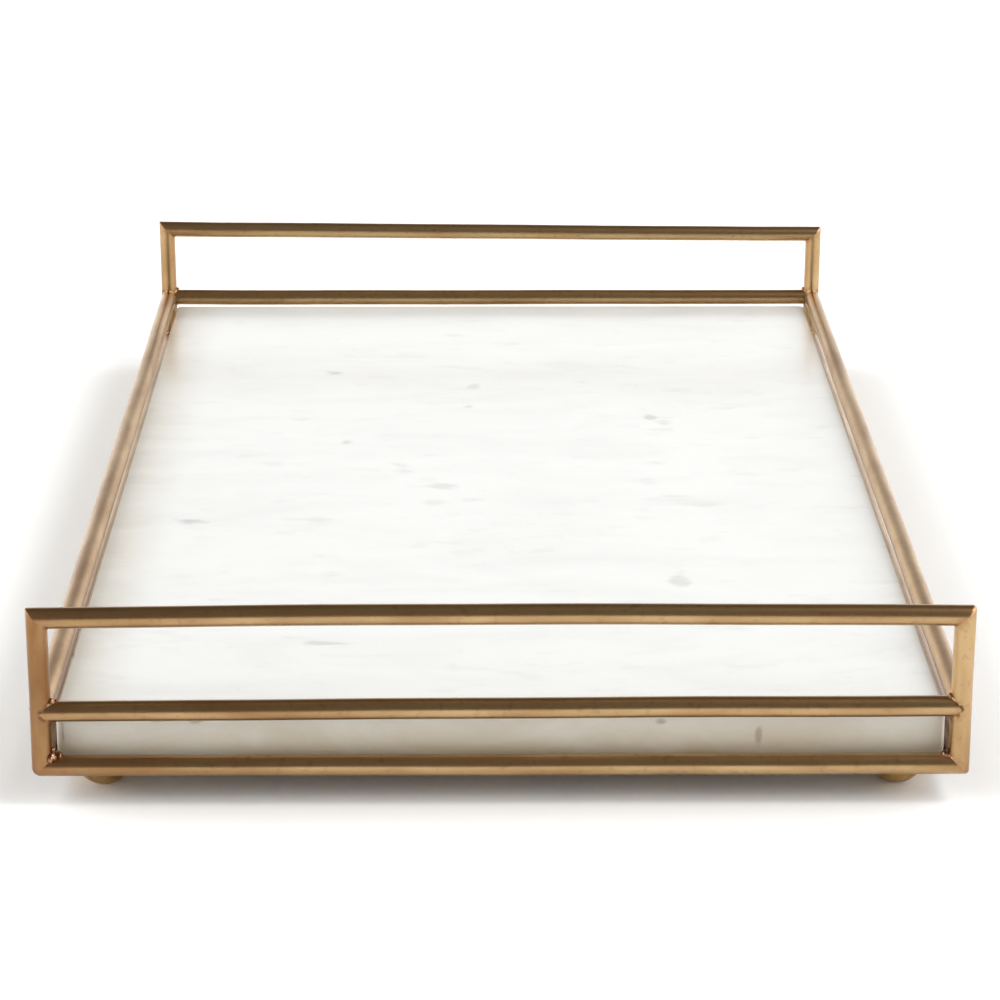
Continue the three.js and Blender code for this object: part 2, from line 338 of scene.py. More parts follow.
# how brown each post is at its foot, middle and top, and each bar at its left end, middle and right end;
# the front-left post's dark brown is painted shade and the front-right post's gold is painted light
POST_TARNISH_AND_LIGHT = {
    (FRONT, LEFT): (0.7, 1.15, 0.7), (FRONT, RIGHT): (0.4, 0.15, 0.3),
    (REAR, LEFT): (0.3, 0.35, 0.2), (REAR, RIGHT): (0.3, 0.3, 0.2),
}
BAR_TARNISH = {FRONT: (0.6, 0.35, 0.3), REAR: (0.25, 0.1, 0.2)}
for end, end_name in ((FRONT, "front"), (REAR, "rear")):
    y = end * POST_Y
    for side, side_name in ((LEFT, "left"), (RIGHT, "right")):
        x = side * POST_X
        low, top = CORNERS[end, side, "low"], CORNERS[end, side, "top"]
        post = rod_mesh(
            (x, y, LOWER_Z), (x, y, HANDLE_Z),
            ("mitre", -side * X_AXIS, *low), ("mitre", -side * X_AXIS, *top),
            2.0 + side + 5 * end,
        )
        add_rod(f"post_bar_{end_name}_{side_name}", settle_end(post, end), BRASS_UPRIGHT,
                f"post_{end_name}_{side_name}", POST_TARNISH_AND_LIGHT[end, side])
    for level, z, node in (("low", LOWER_Z, "lower_end_rail"), ("top", HANDLE_Z, "handle_bar")):
        up = Z_AXIS if level == "low" else -Z_AXIS
        bar = rod_mesh(
            (-POST_X, y, z), (POST_X, y, z),
            ("mitre", up, *CORNERS[end, LEFT, level]), ("mitre", up, *CORNERS[end, RIGHT, level]),
            7.3 + end + z,
        )
        add_rod(f"{node}_rod_{end_name}", settle_end(bar, end), BRASS_ALONG_X, f"{node}_{end_name}",
                BAR_TARNISH[end])

# ---------------------------------------------------------------------------------------------
# Rails. A second rod crosses each end loop at the height of the stone, and four long rods join the
# loops, two a side. Their ends are filed to the round of the rod that they meet and brazed there.

COPE_FILLET = 1.1
for end, end_name in ((FRONT, "front"), (REAR, "rear")):
    y = end * POST_Y
    bar = rod_mesh(
        (-POST_X, y, MIDDLE_Z), (POST_X, y, MIDDLE_Z),
        ("cope", Z_AXIS, COPE_FILLET), ("cope", Z_AXIS, COPE_FILLET * 0.8),
        11.0 + end,
    )
    add_rod(f"upper_end_rail_rod_{end_name}", settle_end(bar, end), BRASS_ALONG_X,
            f"upper_end_rail_{end_name}", BAR_TARNISH[end], coped=True)
# the lower long rods are browner, partly patina and partly painted shade under the stone, and their
# front ends go dark brown as painted shade where they show between the rails
UPPER_TARNISH, LOWER_TARNISH_AND_SHADE = (0.5, 0.4, 0.4), (1.8, 0.6, 0.8)
for side, side_name in ((LEFT, "left"), (RIGHT, "right")):
    x = side * POST_X
    for level, z, brown in (("upper", MIDDLE_Z, UPPER_TARNISH), ("lower", LOWER_Z, LOWER_TARNISH_AND_SHADE)):
        bar = rod_mesh(
            (x, -POST_Y, z), (x, POST_Y, z),
            ("cope", Z_AXIS, COPE_FILLET), ("cope", Z_AXIS, COPE_FILLET),
            17.0 + side + z,
        )
        add_rod(f"{level}_side_rail_rod_{side_name}", bar, BRASS_ALONG_Y, f"{level}_side_rail_{side_name}",
                brown, coped=True)

# ---------------------------------------------------------------------------------------------
# Brazing. Every joint is silver-brazed with a torch, which leaves a coppery bloom round it, a dark
# line of flux where one rod butts against another, and lumps of filler inside the lower corners and
# at the ends of the upper end rails. Each rod point is told how far it is from the nearest joint.

FURTHEST = 20.0
for label, seam_rings in (("seam", seam_points), ("coped", coped_points)):
    found = kdtree.KDTree(sum(len(ring) * 4 for ring in seam_rings))
    count = 0
    for ring in seam_rings:
        following = np.roll(ring, -1, 0)
        for share in (0, 0.25, 0.5, 0.75):
            for point in ring * (1 - share) + following * share:
                found.insert(point, count)
                count += 1
    found.balance()
    for piece in rods:
        distance = [min(found.find(1000 * v.co)[2], FURTHEST) for v in piece.data.vertices]
        piece.data.attributes.new(label, "FLOAT", "POINT").data.foreach_set("value", distance)


def modifier_result(piece, group, values):
    """Runs a geometry tree on a piece and puts the plain mesh that it makes in the piece's place."""
    modifier = piece.modifiers.new("made", "NODES")
    modifier.node_group = group
    for item in group.interface.items_tree:
        if item.item_type == "SOCKET" and item.in_out == "INPUT" and item.name in values:
            modifier[item.identifier] = values[item.name]
    graph = bpy.context.evaluated_depsgraph_get()
    mesh = bpy.data.meshes.new_from_object(piece.evaluated_get(graph))
    piece.modifiers.remove(modifier)
    piece.data = mesh
    mesh.name = piece.name


def geometry_group(name, **inputs):
    """A new geometry tree that takes and gives a mesh, with these further inputs."""
    group = bpy.data.node_groups.new(name, "GeometryNodeTree")
    group.interface.new_socket("Geometry", in_out="INPUT", socket_type="NodeSocketGeometry")
    for key, kind in inputs.items():
        group.interface.new_socket(key, in_out="INPUT", socket_type=kind)
    group.interface.new_socket("Geometry", in_out="OUTPUT", socket_type="NodeSocketGeometry")
    return group, add(group, "NodeGroupInput").outputs


def points_piece(name, places, edges=()):
    """A bare mesh of points in millimetres for a geometry tree to work on."""
    mesh = bpy.data.meshes.new(name)
    mesh.from_pydata([tuple(MM * c for c in p) for p in places], list(edges), [])
    piece = bpy.data.objects.new(name, mesh)
    bpy.context.scene.collection.objects.link(piece)
    return piece


# Lumps of filler: rough little balls, squashed and sunk in the inner corners.
lumps_group, given = geometry_group(
    "filler_lumps", Roughness="NodeSocketFloat", Material="NodeSocketMaterial")
ball = add(lumps_group, "GeometryNodeMeshIcoSphere", {"Radius": 1.0, "Subdivisions": 4})
size = add(lumps_group, "GeometryNodeInputNamedAttribute", {"Name": "size"}, data_type="FLOAT_VECTOR")
turn = add(lumps_group, "FunctionNodeRandomValue", {0: (0, 0, 0), 1: (0.7, 0.7, 6.28), "Seed": 4},
           data_type="FLOAT_VECTOR")
laid = add(lumps_group, "GeometryNodeInstanceOnPoints", {
    "Points": given["Geometry"], "Instance": ball.outputs["Mesh"],
    "Rotation": turn.outputs[0], "Scale": size.outputs[0],
})
solid = add(lumps_group, "GeometryNodeRealizeInstances", {"Geometry": laid.outputs[0]})
grain = add(lumps_group, "ShaderNodeTexNoise", {"Scale": 520.0, "Detail": 2.0})
centred = calc(lumps_group, "SUBTRACT", grain.outputs[0], 0.5)
amount = calc(lumps_group, "MULTIPLY", centred, given["Roughness"])
facing = add(lumps_group, "GeometryNodeInputNormal")
offset = add(lumps_group, "ShaderNodeVectorMath", {0: facing.outputs[0], "Scale": amount},
             operation="SCALE")
rough = add(lumps_group, "GeometryNodeSetPosition", {
    "Geometry": solid.outputs[0], "Offset": offset.outputs[0],
})
smooth = add(lumps_group, "GeometryNodeSetShadeSmooth", {"Geometry": rough.outputs[0]})
finished = add(lumps_group, "GeometryNodeSetMaterial", {
    "Geometry": smooth.outputs[0], "Material": given["Material"],
})
add(lumps_group, "NodeGroupOutput", {"Geometry": finished.outputs[0]})

# Brazing filler: copper-coloured metal that was melted and left, so bright, lumpy and dark in its pits.
BRAZE, braze_tree = new_material("brazing_filler_as_melted")
place = add(braze_tree, "ShaderNodeTexCoord").outputs["Object"]
pits = add(braze_tree, "ShaderNodeTexNoise", {"Vector": place, "Scale": 900.0, "Detail": 4.0}).outputs[0]
dark = add(braze_tree, "ShaderNodeMapRange", {"Value": pits, 1: 0.42, 2: 0.6}).outputs[0]
tint = over(braze_tree, dark, "#4a3022", "#a47a5b")
shine = add(braze_tree, "ShaderNodeMapRange", {"Value": pits, 1: 0.4, 2: 0.62, 3: 0.5, 4: 0.22}).outputs[0]
bump = add(braze_tree, "ShaderNodeBump", {"Height": pits, "Strength": 0.6, "Distance": 0.00015})
surface = add(braze_tree, "ShaderNodeBsdfPrincipled", {
    "Base Color": tint, "Metallic": 1.0, "Roughness": shine, "Normal": bump.outputs[0],
})
add(braze_tree, "ShaderNodeOutputMaterial", {"Surface": surface.outputs[0]})

# three lumps in each lower corner, larger where more filler ran
inner_x, corner_z = POST_X - ROD_RADIUS, LOWER_Z + ROD_RADIUS
lump_places, lump_sizes = [], []
for end, side, reach in ((FRONT, LEFT, 1.0), (FRONT, RIGHT, 0.7), (REAR, LEFT, 0.6), (REAR, RIGHT, 0.75)):
    for across, up, outward, width, height, depth in (
        (-0.2, -0.5, 1.2, 2.3, 2.1, 1.7), (1.6, 0.1, 0.2, 1.9, 1.3, 1.6), (0.1, 1.7, 0.4, 0.9, 1.5, 1.4),
    ):
        lump_places.append((
            side * (inner_x - across * reach), end * (POST_Y + outward * reach), corner_z + up * reach,
        ))
        lump_sizes.append([MM * reach * s for s in (width, depth, height)])
# smaller ones where the upper end rail meets the posts
for end, side, across, up, outward, size in (
    (FRONT, LEFT, 0.3, 0.1, 0.6, 1.3), (FRONT, LEFT, 1.6, 0.2, 0.2, 0.8), (FRONT, RIGHT, 0.2, 0.0, 0.5, 1.0),
    (FRONT, RIGHT, 0.1, -6.9, 0.8, 0.8), (REAR, LEFT, 0.4, 0.2, 0.3, 1.0), (REAR, RIGHT, 0.3, 0.1, 0.4, 0.9),
):
    rail_top = MIDDLE_Z + through(*RAIL_STRAY[end], side) + ROD_RADIUS
    lump_places.append((side * (inner_x - across), end * (POST_Y + outward), rail_top + up))
    lump_sizes.append([MM * size, MM * size, MM * size * 0.8])
lumps = points_piece("braze_lumps", lump_places)
lumps.data.attributes.new("size", "FLOAT_VECTOR", "POINT").data.foreach_set("vector", sum(lump_sizes, []))
modifier_result(lumps, lumps_group, {"Roughness": 0.0011, "Material": BRAZE})
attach(lumps, "frame")

# ---------------------------------------------------------------------------------------------
# Support straps. Three flat bars run across under the stone, level with the undersides of the lower
# rods and welded to them at each end. They aren't polished: plated over the marks of the rolling
# mill, so they are darker and duller than the rods.

STRAPS, strap_tree = new_material("brass_plated_flat_bar_as_rolled")
place = add(strap_tree, "ShaderNodeTexCoord").outputs["Object"]
drawn = add(strap_tree, "ShaderNodeMapping", {"Vector": place, "Scale": (0.06, 1.0, 1.0)}).outputs[0]
# mill lines along the bar about 0.4 mm apart, and stains about 12 mm across
mill = add(strap_tree, "ShaderNodeTexNoise", {"Vector": drawn, "Scale": 1800.0, "Detail": 2.0}).outputs[0]
tint_mask = add(strap_tree, "ShaderNodeTexNoise", {"Vector": place, "Scale": 85.0, "Detail": 4.0}).outputs[0]
shade = add(strap_tree, "ShaderNodeMapRange", {"Value": tint_mask, 1: 0.38, 2: 0.66}).outputs[0]
tint = over(strap_tree, shade, "#6f5533", "#a3814f")
shine = add(strap_tree, "ShaderNodeMapRange", {"Value": mill, 1: 0.3, 2: 0.7, 3: 0.38, 4: 0.55}).outputs[0]
relief = calc(strap_tree, "MULTIPLY_ADD", tint_mask, 0.6, mill)
bump = add(strap_tree, "ShaderNodeBump", {"Height": relief, "Strength": 0.5, "Distance": 0.00004})
surface = add(strap_tree, "ShaderNodeBsdfPrincipled", {
    "Base Color": tint, "Metallic": 1.0, "Roughness": shine, "Normal": bump.outputs[0],
})
add(strap_tree, "ShaderNodeOutputMaterial", {"Surface": surface.outputs[0]})
strap_ends = []
for name in ("support_strap_front", "support_strap_middle", "support_strap_rear"):
    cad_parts[name].data.materials.clear()
    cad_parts[name].data.materials.append(STRAPS)
    low, high = (1000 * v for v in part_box(name))
    strap_ends += [(x, low.y, high.y, low.z, high.z) for x in (low.x, high.x)]

# Weld beads: short ripples laid one over the next across each strap end, above and below.
beads_group, given = geometry_group(
    "weld_beads", Spacing="NodeSocketFloat", Width="NodeSocketFloat", Material="NodeSocketMaterial")
path = add(beads_group, "GeometryNodeMeshToCurve", {"Mesh": given["Geometry"]})
steps = add(beads_group, "GeometryNodeResampleCurve", {"Curve": path.outputs[0], "Length": given["Spacing"]},
            mode="LENGTH")
ripple = add(beads_group, "GeometryNodeMeshUVSphere", {"Segments": 12, "Rings": 8, "Radius": 1.0})
uneven = add(beads_group, "FunctionNodeRandomValue", {0: (0.8, 0.75, 0.7), 1: (1.1, 1.1, 1.0), "Seed": 9},
             data_type="FLOAT_VECTOR")
wide = add(beads_group, "ShaderNodeVectorMath", {0: uneven.outputs[0], "Scale": given["Width"]},
           operation="SCALE")
laid = add(beads_group, "GeometryNodeInstanceOnPoints", {
    "Points": steps.outputs[0], "Instance": ripple.outputs["Mesh"], "Scale": wide.outputs[0],
})
solid = add(beads_group, "GeometryNodeRealizeInstances", {"Geometry": laid.outputs[0]})
smooth = add(beads_group, "GeometryNodeSetShadeSmooth", {"Geometry": solid.outputs[0]})
finished = add(beads_group, "GeometryNodeSetMaterial", {
    "Geometry": smooth.outputs[0], "Material": given["Material"],
})
add(beads_group, "NodeGroupOutput", {"Geometry": finished.outputs[0]})

BEAD_SHORT, BEAD_UNDER, BEAD_OVER = 1.2, 1.0, 0.35
bead_ends, bead_edges = [], []
for x, y0, y1, z0, z1 in strap_ends:
    for z in (z0 + BEAD_UNDER, z1 - BEAD_OVER):
        bead_edges.append((len(bead_ends), len(bead_ends) + 1))
        bead_ends += [(x, y0 + BEAD_SHORT, z), (x, y1 - BEAD_SHORT, z)]
beads = points_piece("strap_weld_beads", bead_ends, bead_edges)
modifier_result(beads, beads_group, {"Spacing": 1.05 * MM, "Width": 0.95 * MM, "Material": STRAPS})
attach(beads, "frame")

# ---------------------------------------------------------------------------------------------
# Feet. Four turned brass domes under the outer straps, about 20 mm across, each with a small flat to
# stand on. They came off the lathe, so they carry faint rings, and were dipped in the same patina.

foot_low, foot_high = (1000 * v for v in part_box("foot_front_left"))
FOOT_RADIUS = (foot_high.x - foot_low.x) / 2
FOOT_HEIGHT = foot_high.z
FOOT_FLAT = 3.0
FOOT_X, FOOT_Y = -(foot_low.x + foot_high.x) / 2, -(foot_low.y + foot_high.y) / 2
dome_centre = math.sqrt(FOOT_RADIUS ** 2 - FOOT_FLAT ** 2)


def turned(name, profile, sides):
    """A closed turned shape about the Z axis at the origin, from its outline in millimetres."""
    rows = []
    for radius, z in profile:
        angle = 2 * math.pi * np.arange(sides) / sides
        rows.append(np.stack([radius * np.cos(angle), radius * np.sin(angle), np.full(sides, z)], -1))
    return tube_object(name, np.array(rows))


def set_out_group():
    """Repeats one finished shape at each point, each copy turned by its own amount about Z."""
    group, given = geometry_group("set_out", Shape="NodeSocketObject", Seed="NodeSocketInt",
                                  Material="NodeSocketMaterial")
    shape = add(group, "GeometryNodeObjectInfo", {"Object": given["Shape"]})
    turn = add(group, "FunctionNodeRandomValue", {0: (0, 0, 0), 1: (0, 0, 6.28), "Seed": given["Seed"]},
               data_type="FLOAT_VECTOR")
    laid = add(group, "GeometryNodeInstanceOnPoints", {
        "Points": given["Geometry"], "Instance": shape.outputs["Geometry"], "Rotation": turn.outputs[0],
    })
    solid = add(group, "GeometryNodeRealizeInstances", {"Geometry": laid.outputs[0]})
    finished = add(group, "GeometryNodeSetMaterial", {
        "Geometry": solid.outputs[0], "Material": given["Material"],
    })
    add(group, "NodeGroupOutput", {"Geometry": finished.outputs[0]})
    return group


set_out = set_out_group()
DOME_STEPS = 24
profile = [(0.6, 0.0), (1.8, 0.0), (2.7, 0.0)]
for step in range(DOME_STEPS + 1):
    share = step / DOME_STEPS
    angle = math.asin(FOOT_FLAT / FOOT_RADIUS) * (1 - share) + math.pi / 2 * share
    profile.append((FOOT_RADIUS * math.sin(angle), dome_centre - FOOT_RADIUS * math.cos(angle)))
profile += [(FOOT_RADIUS - 0.05, FOOT_HEIGHT - 0.06), (FOOT_RADIUS - 0.3, FOOT_HEIGHT), (1.0, FOOT_HEIGHT)]
foot = turned("foot_shape", profile, 64)

FEET, foot_tree = new_material("turned_brass_patinated")
place = add(foot_tree, "ShaderNodeTexCoord").outputs["Object"]
tint_mask = add(foot_tree, "ShaderNodeTexNoise", {"Vector": place, "Scale": 160.0, "Detail": 4.0}).outputs[0]
shade = add(foot_tree, "ShaderNodeMapRange", {"Value": tint_mask, 1: 0.36, 2: 0.66}).outputs[0]
tint = over(foot_tree, shade, "#a07c4a", "#c9a468")
LATHE_FEED = 0.00035
height = add(foot_tree, "ShaderNodeSeparateXYZ", {0: place}).outputs["Z"]
phase = calc(foot_tree, "MULTIPLY", height, 2 * math.pi / LATHE_FEED)
rings = calc(foot_tree, "SINE", phase)
relief = calc(foot_tree, "MULTIPLY_ADD", rings, 0.2, tint_mask)
bump = add(foot_tree, "ShaderNodeBump", {"Height": relief, "Strength": 0.4, "Distance": 0.00004})
shine = add(foot_tree, "ShaderNodeMapRange", {"Value": tint_mask, 1: 0.3, 2: 0.7, 3: 0.36, 4: 0.27}).outputs[0]
surface = add(foot_tree, "ShaderNodeBsdfPrincipled", {
    "Base Color": tint, "Metallic": 1.0, "Roughness": shine, "Normal": bump.outputs[0],
})
add(foot_tree, "ShaderNodeOutputMaterial", {"Surface": surface.outputs[0]})
foot_places = [(sx * FOOT_X, sy * FOOT_Y, 0) for sx in (LEFT, RIGHT) for sy in (FRONT, REAR)]
feet = points_piece("feet_turned", foot_places)
modifier_result(feet, set_out, {"Shape": foot, "Seed": 3, "Material": FEET})
bpy.data.objects.remove(foot)
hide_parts(*[f"foot_{end}_{side}" for end in ("front", "rear") for side in ("left", "right")])
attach(feet, "frame")

# ---------------------------------------------------------------------------------------------
# Foot screws. A countersunk steel screw with a hex socket goes down through the strap into each
# foot, its head just below the strap's face, where the stone hides it.

screw_low, screw_high = (1000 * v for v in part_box("foot_screw_front_left"))
HEAD_RADIUS = (screw_high.x - screw_low.x) / 2
SCREW_TOP, SCREW_TIP = screw_high.z, screw_low.z
SHANK_RADIUS, HEAD_HEIGHT, SOCKET_RADIUS, SOCKET_DEPTH = 2.0, 1.8, 1.45, 1.3
THREAD_PITCH, THREAD_DEPTH = 0.7, 0.35
neck, socket_floor = SCREW_TOP - HEAD_HEIGHT, SCREW_TOP - SOCKET_DEPTH
outline = [(0.5, SCREW_TIP), (1.2, SCREW_TIP), (1.6, SCREW_TIP + 0.5)]
for turn_of_thread in range(8):
    z = SCREW_TIP + 0.6 + turn_of_thread * THREAD_PITCH
    outline += [(SHANK_RADIUS - THREAD_DEPTH, z), (SHANK_RADIUS - 0.02, z + THREAD_PITCH / 2)]
outline += [
    (SHANK_RADIUS - THREAD_DEPTH, neck - 0.3), (SHANK_RADIUS - 0.1, neck),
    (HEAD_RADIUS - 0.05, SCREW_TOP - 0.14), (HEAD_RADIUS, SCREW_TOP - 0.08),
    (HEAD_RADIUS - 0.12, SCREW_TOP), (HEAD_RADIUS - 0.8, SCREW_TOP), (SOCKET_RADIUS + 0.12, SCREW_TOP),
    (SOCKET_RADIUS, SCREW_TOP - 0.1), (SOCKET_RADIUS - 0.01, socket_floor), (0.25, socket_floor - 0.3),
]
screw = turned("screw_shape", outline, 36)
# the round socket is pressed into six flats
sector = math.pi / 3
for vertex in screw.data.vertices:
    x, y, z = 1000 * vertex.co
    radius = math.hypot(x, y)
    if 0.4 < radius < SOCKET_RADIUS + 0.2 and z > socket_floor - 0.05:
        bearing = math.atan2(y, x) % sector - sector / 2
        flat = math.cos(sector / 2) / math.cos(bearing)
        vertex.co.x *= flat
        vertex.co.y *= flat

SCREWS, screw_tree = new_material("zinc_plated_steel_screw")
place = add(screw_tree, "ShaderNodeTexCoord").outputs["Object"]
dull = add(screw_tree, "ShaderNodeTexNoise", {"Vector": place, "Scale": 600.0, "Detail": 4.0}).outputs[0]
shade = add(screw_tree, "ShaderNodeMapRange", {"Value": dull, 1: 0.38, 2: 0.66}).outputs[0]
tint = over(screw_tree, shade, "#8f887c", "#bdb6a8")
shine = add(screw_tree, "ShaderNodeMapRange", {"Value": dull, 3: 0.28, 4: 0.5}).outputs[0]
bump = add(screw_tree, "ShaderNodeBump", {"Height": dull, "Strength": 0.4, "Distance": 0.00003})
surface = add(screw_tree, "ShaderNodeBsdfPrincipled", {
    "Base Color": tint, "Metallic": 1.0, "Roughness": shine, "Normal": bump.outputs[0],
})
add(screw_tree, "ShaderNodeOutputMaterial", {"Surface": surface.outputs[0]})
screws = points_piece("foot_screws", foot_places)
modifier_result(screws, set_out, {"Shape": screw, "Seed": 12, "Material": SCREWS})
bpy.data.objects.remove(screw)
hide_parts(*[f"foot_screw_{end}_{side}" for end in ("front", "rear") for side in ("left", "right")])
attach(screws, "frame")

# ---------------------------------------------------------------------------------------------
# Slab pads. Six stick-on rubber discs on the straps, 12 mm across and 1.5 mm thick, keep the stone off
# the metal. They are punched from sheet, matt, with a slightly rounded edge.

pad_low, pad_high = (1000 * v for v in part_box("slab_pad_front_left"))
PAD_RADIUS = (pad_high.x - pad_low.x) / 2
PAD_EDGE = 0.25
outline = [(1.5, pad_low.z), (PAD_RADIUS - 0.1, pad_low.z), (PAD_RADIUS, pad_low.z + 0.1)]
for step in range(6):
    angle = math.pi / 2 * step / 5
    outline.append((
        PAD_RADIUS - PAD_EDGE * (1 - math.cos(angle)), pad_high.z - PAD_EDGE * (1 - math.sin(angle)),
    ))
outline += [(PAD_RADIUS - 1.2, pad_high.z - 0.02), (2.0, pad_high.z)]
pad = turned("pad_shape", outline, 40)

PADS, pad_tree = new_material("black_rubber_sheet")
place = add(pad_tree, "ShaderNodeTexCoord").outputs["Object"]
dust = add(pad_tree, "ShaderNodeTexNoise", {"Vector": place, "Scale": 450.0, "Detail": 4.0}).outputs[0]
shade = add(pad_tree, "ShaderNodeMapRange", {"Value": dust, 1: 0.4, 2: 0.7}).outputs[0]
tint = over(pad_tree, shade, "#232220", "#3f3d39")
shine = add(pad_tree, "ShaderNodeMapRange", {"Value": dust, 3: 0.6, 4: 0.85}).outputs[0]
bump = add(pad_tree, "ShaderNodeBump", {"Height": dust, "Strength": 0.5, "Distance": 0.00005})
surface = add(pad_tree, "ShaderNodeBsdfPrincipled", {
    "Base Color": tint, "Roughness": shine, "Normal": bump.outputs[0],
})
add(pad_tree, "ShaderNodeOutputMaterial", {"Surface": surface.outputs[0]})
pad_x = -(pad_low.x + pad_high.x) / 2
pads = points_piece("slab_pads", [(sx * pad_x, y, 0) for sx in (LEFT, RIGHT) for y in (-FOOT_Y, 0, FOOT_Y)])
modifier_result(pads, set_out, {"Shape": pad, "Seed": 21, "Material": PADS})
bpy.data.objects.remove(pad)
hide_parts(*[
    f"slab_pad_{row}_{side}" for row in ("front", "middle", "rear") for side in ("left", "right")
])
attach(pads, "frame")

# ---------------------------------------------------------------------------------------------
# Marble slab. One loose piece of white marble, sawn about 16 mm thick, polished on top, with its sides
# only rubbed and every edge eased by hand. It drops in between the upper rods onto the pads.

slab_low, slab_high = (1000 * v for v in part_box("marble_slab"))
SLAB_CORNER, SLAB_ARRIS, SAWN_NARROW = 2.5, 0.5, 0.3
RING_STEP = 2.5
# roughly half the slab, to draw a worn point inward
HALF_WIDE, HALF_LONG = 150, 250


def slab_ring(inset, z, ease):
    """One line round the slab at a height, inset from its outline. ease is how far the edge is worn."""
    hx, hy = slab_high.x - SLAB_CORNER - SAWN_NARROW, slab_high.y - SLAB_CORNER
    r = SLAB_CORNER - inset
    places = []
    for cx, cy, start in ((hx, -hy, -90), (hx, hy, 0), (-hx, hy, 90), (-hx, -hy, 180)):
        for step in range(9):
            angle = math.radians(start + 90 * step / 8)
            places.append((cx + r * math.cos(angle), cy + r * math.sin(angle)))
        following = {-90: (hx, hy), 0: (-hx, hy), 90: (-hx, -hy), 180: (hx, -hy)}[start]
        direction = np.array([math.cos(angle), math.sin(angle)])
        begin = np.array([cx, cy]) + r * direction
        finish = np.array(following) + r * direction
        run = np.linalg.norm(finish - begin)
        steps = int(run // RING_STEP)
        places += [tuple(begin + (finish - begin) * n / steps) for n in range(1, steps)]
    ring = []
    for x, y in places:
        wear = 0.0
        if ease:
            rough = noise.noise(Vector((x * 0.09, y * 0.09, z * 0.05)))
            chip = max(0.0, noise.noise(Vector((x * 0.31 + 7, y * 0.31, 3.0))) - 0.52)
            wear = max(ease * (0.06 + 0.1 * rough + 2.2 * chip), 0)
        ring.append((x * (1 - wear / HALF_WIDE), y * (1 - wear / HALF_LONG), z - wear * 0.3 * ease))
    return ring


rings = [slab_ring(2.4, slab_low.z, 0), slab_ring(SLAB_ARRIS + 0.4, slab_low.z, 0)]
for step in range(6):
    angle = math.pi / 2 * step / 5
    rings.append(slab_ring(
        SLAB_ARRIS * (1 - math.sin(angle)), slab_low.z + SLAB_ARRIS * (1 - math.cos(angle)), 0,
    ))
for share in (0.03, 0.3, 0.6, 0.97):
    z = slab_low.z + SLAB_ARRIS + share * (slab_high.z - slab_low.z - 2 * SLAB_ARRIS)
    rings.append(slab_ring(0, z, 0))
for step in range(7):
    angle = math.pi / 2 * step / 6
    rings.append(slab_ring(
        SLAB_ARRIS * (1 - math.cos(angle)), slab_high.z - SLAB_ARRIS * (1 - math.sin(angle)),
        math.sin(2 * angle),
    ))
rings += [slab_ring(SLAB_ARRIS + 0.3, slab_high.z, 0), slab_ring(2.4, slab_high.z, 0)]
slab = tube_object("marble_slab_eased", np.array(rings))

# White marble: a near-white crystalline stone with a faint grey cloud drawn out across the slab, a
# few soft grey spots and threads, a cream-brown tint along the left edge, painted shade down the
# sides, darker towards the bottom, painted shade in the top of the two long edges beside the rods,
# and a few brown marks on the front side.


def ragged_marks(marks):
    """How strongly any of these marks shows in the marble. A mark is (centre, size, strength), in
    millimetres, and the mottling of the stone makes its outline ragged."""
    shown = None
    for centre, size, strength in marks:
        offset = add(marble_tree, "ShaderNodeVectorMath", {0: place, 1: tuple(MM * c for c in centre)},
                     operation="SUBTRACT").outputs[0]
        scaled = add(marble_tree, "ShaderNodeVectorMath", {0: offset, 1: tuple(1000 / s for s in size)},
                     operation="MULTIPLY").outputs[0]
        reach = add(marble_tree, "ShaderNodeVectorMath", {0: scaled}, operation="LENGTH").outputs["Value"]
        ragged = calc(marble_tree, "MULTIPLY_ADD", mottle, -3.4, reach)
        mark = add(marble_tree, "ShaderNodeMapRange", {
            "Value": ragged, 1: -1.6, 2: -0.6, 3: strength, 4: 0.0,
        }, interpolation_type="SMOOTHSTEP").outputs[0]
        shown = mark if shown is None else calc(marble_tree, "MAXIMUM", shown, mark)
    return shown


MARBLE, marble_tree = new_material("white_marble_polished")
place = add(marble_tree, "ShaderNodeTexCoord").outputs["Object"]
drawn = add(marble_tree, "ShaderNodeMapping", {"Vector": place, "Scale": (0.45, 1.0, 1.0)}).outputs[0]
# clouds about 60 mm by 27 mm, mottling about 8 mm, threads a few centimetres long, crystals 0.8 mm
cloud = add(marble_tree, "ShaderNodeTexNoise", {
    "Vector": drawn, "Scale": 37.0, "Detail": 5.0, "Roughness": 0.6, "Distortion": 0.6,
}).outputs[0]
mottle = add(marble_tree, "ShaderNodeTexNoise", {"Vector": drawn, "Scale": 125.0, "Detail": 6.0}).outputs[0]
thread = add(marble_tree, "ShaderNodeTexNoise", {
    "Vector": drawn, "Scale": 22.0, "Detail": 3.0, "Distortion": 2.2,
}).outputs[0]
crystal = add(marble_tree, "ShaderNodeTexVoronoi", {"Vector": place, "Scale": 1250.0}).outputs["Distance"]
grey = add(marble_tree, "ShaderNodeMapRange", {"Value": cloud, 1: 0.42, 2: 0.74, 4: 0.45}).outputs[0]
stone = over(marble_tree, grey, "#dfdfdc", "#d0d0ce")
speck = add(marble_tree, "ShaderNodeMapRange", {"Value": mottle, 1: 0.6, 2: 0.78, 4: 0.35}).outputs[0]
stone = over(marble_tree, speck, stone, "#c0c0bd")
middle = calc(marble_tree, "SUBTRACT", thread, 0.5)
middle = calc(marble_tree, "ABSOLUTE", middle)
vein = add(marble_tree, "ShaderNodeMapRange", {"Value": middle, 1: 0.0, 2: 0.008, 3: 0.3, 4: 0.0}).outputs[0]
vein = calc(marble_tree, "MULTIPLY", vein, grey)
stone = over(marble_tree, vein, stone, "#adaca7")
